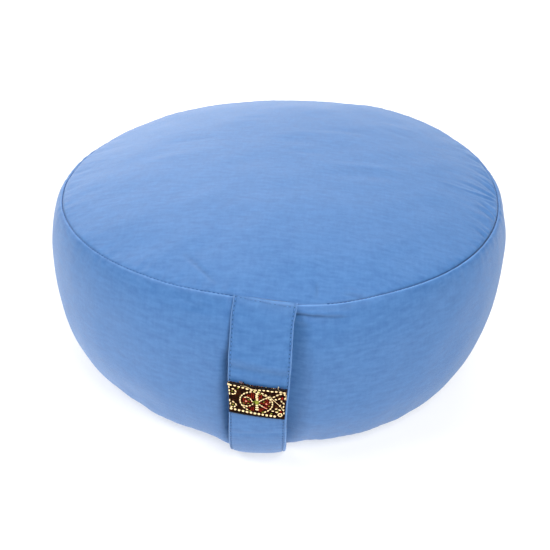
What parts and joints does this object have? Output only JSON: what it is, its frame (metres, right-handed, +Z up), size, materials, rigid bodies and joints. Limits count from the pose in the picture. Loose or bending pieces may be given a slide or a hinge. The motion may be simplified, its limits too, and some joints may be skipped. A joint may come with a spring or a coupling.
{
  "type": "zafu meditation cushion",
  "caption": "Round filled floor cushion with a crowned top, drawn-in seams, and a cloth carrying strap with a woven trim band down its side.",
  "frame": {"origin": "centre of the flat that the filling presses onto the floor", "axes": "+Z up through the crown, -Y towards the carrying strap, +X to the right as the strap is looked at"},
  "size_m": [0.3402, 0.3499, 0.1597],
  "materials": {
    "cushion_cotton": "matt plain-weave cotton, light cornflower blue",
    "strap_cotton": "the same cotton, doubled and edge-stitched",
    "woven_trim": "woven ribbon, dark brown ground with gold beads and a dark red flower"
  },
  "bodies": {
    "root": {"cushion": "cushion_cotton", "carry_strap": "strap_cotton", "trim_band": "woven_trim"}
  },
  "joints": []
}
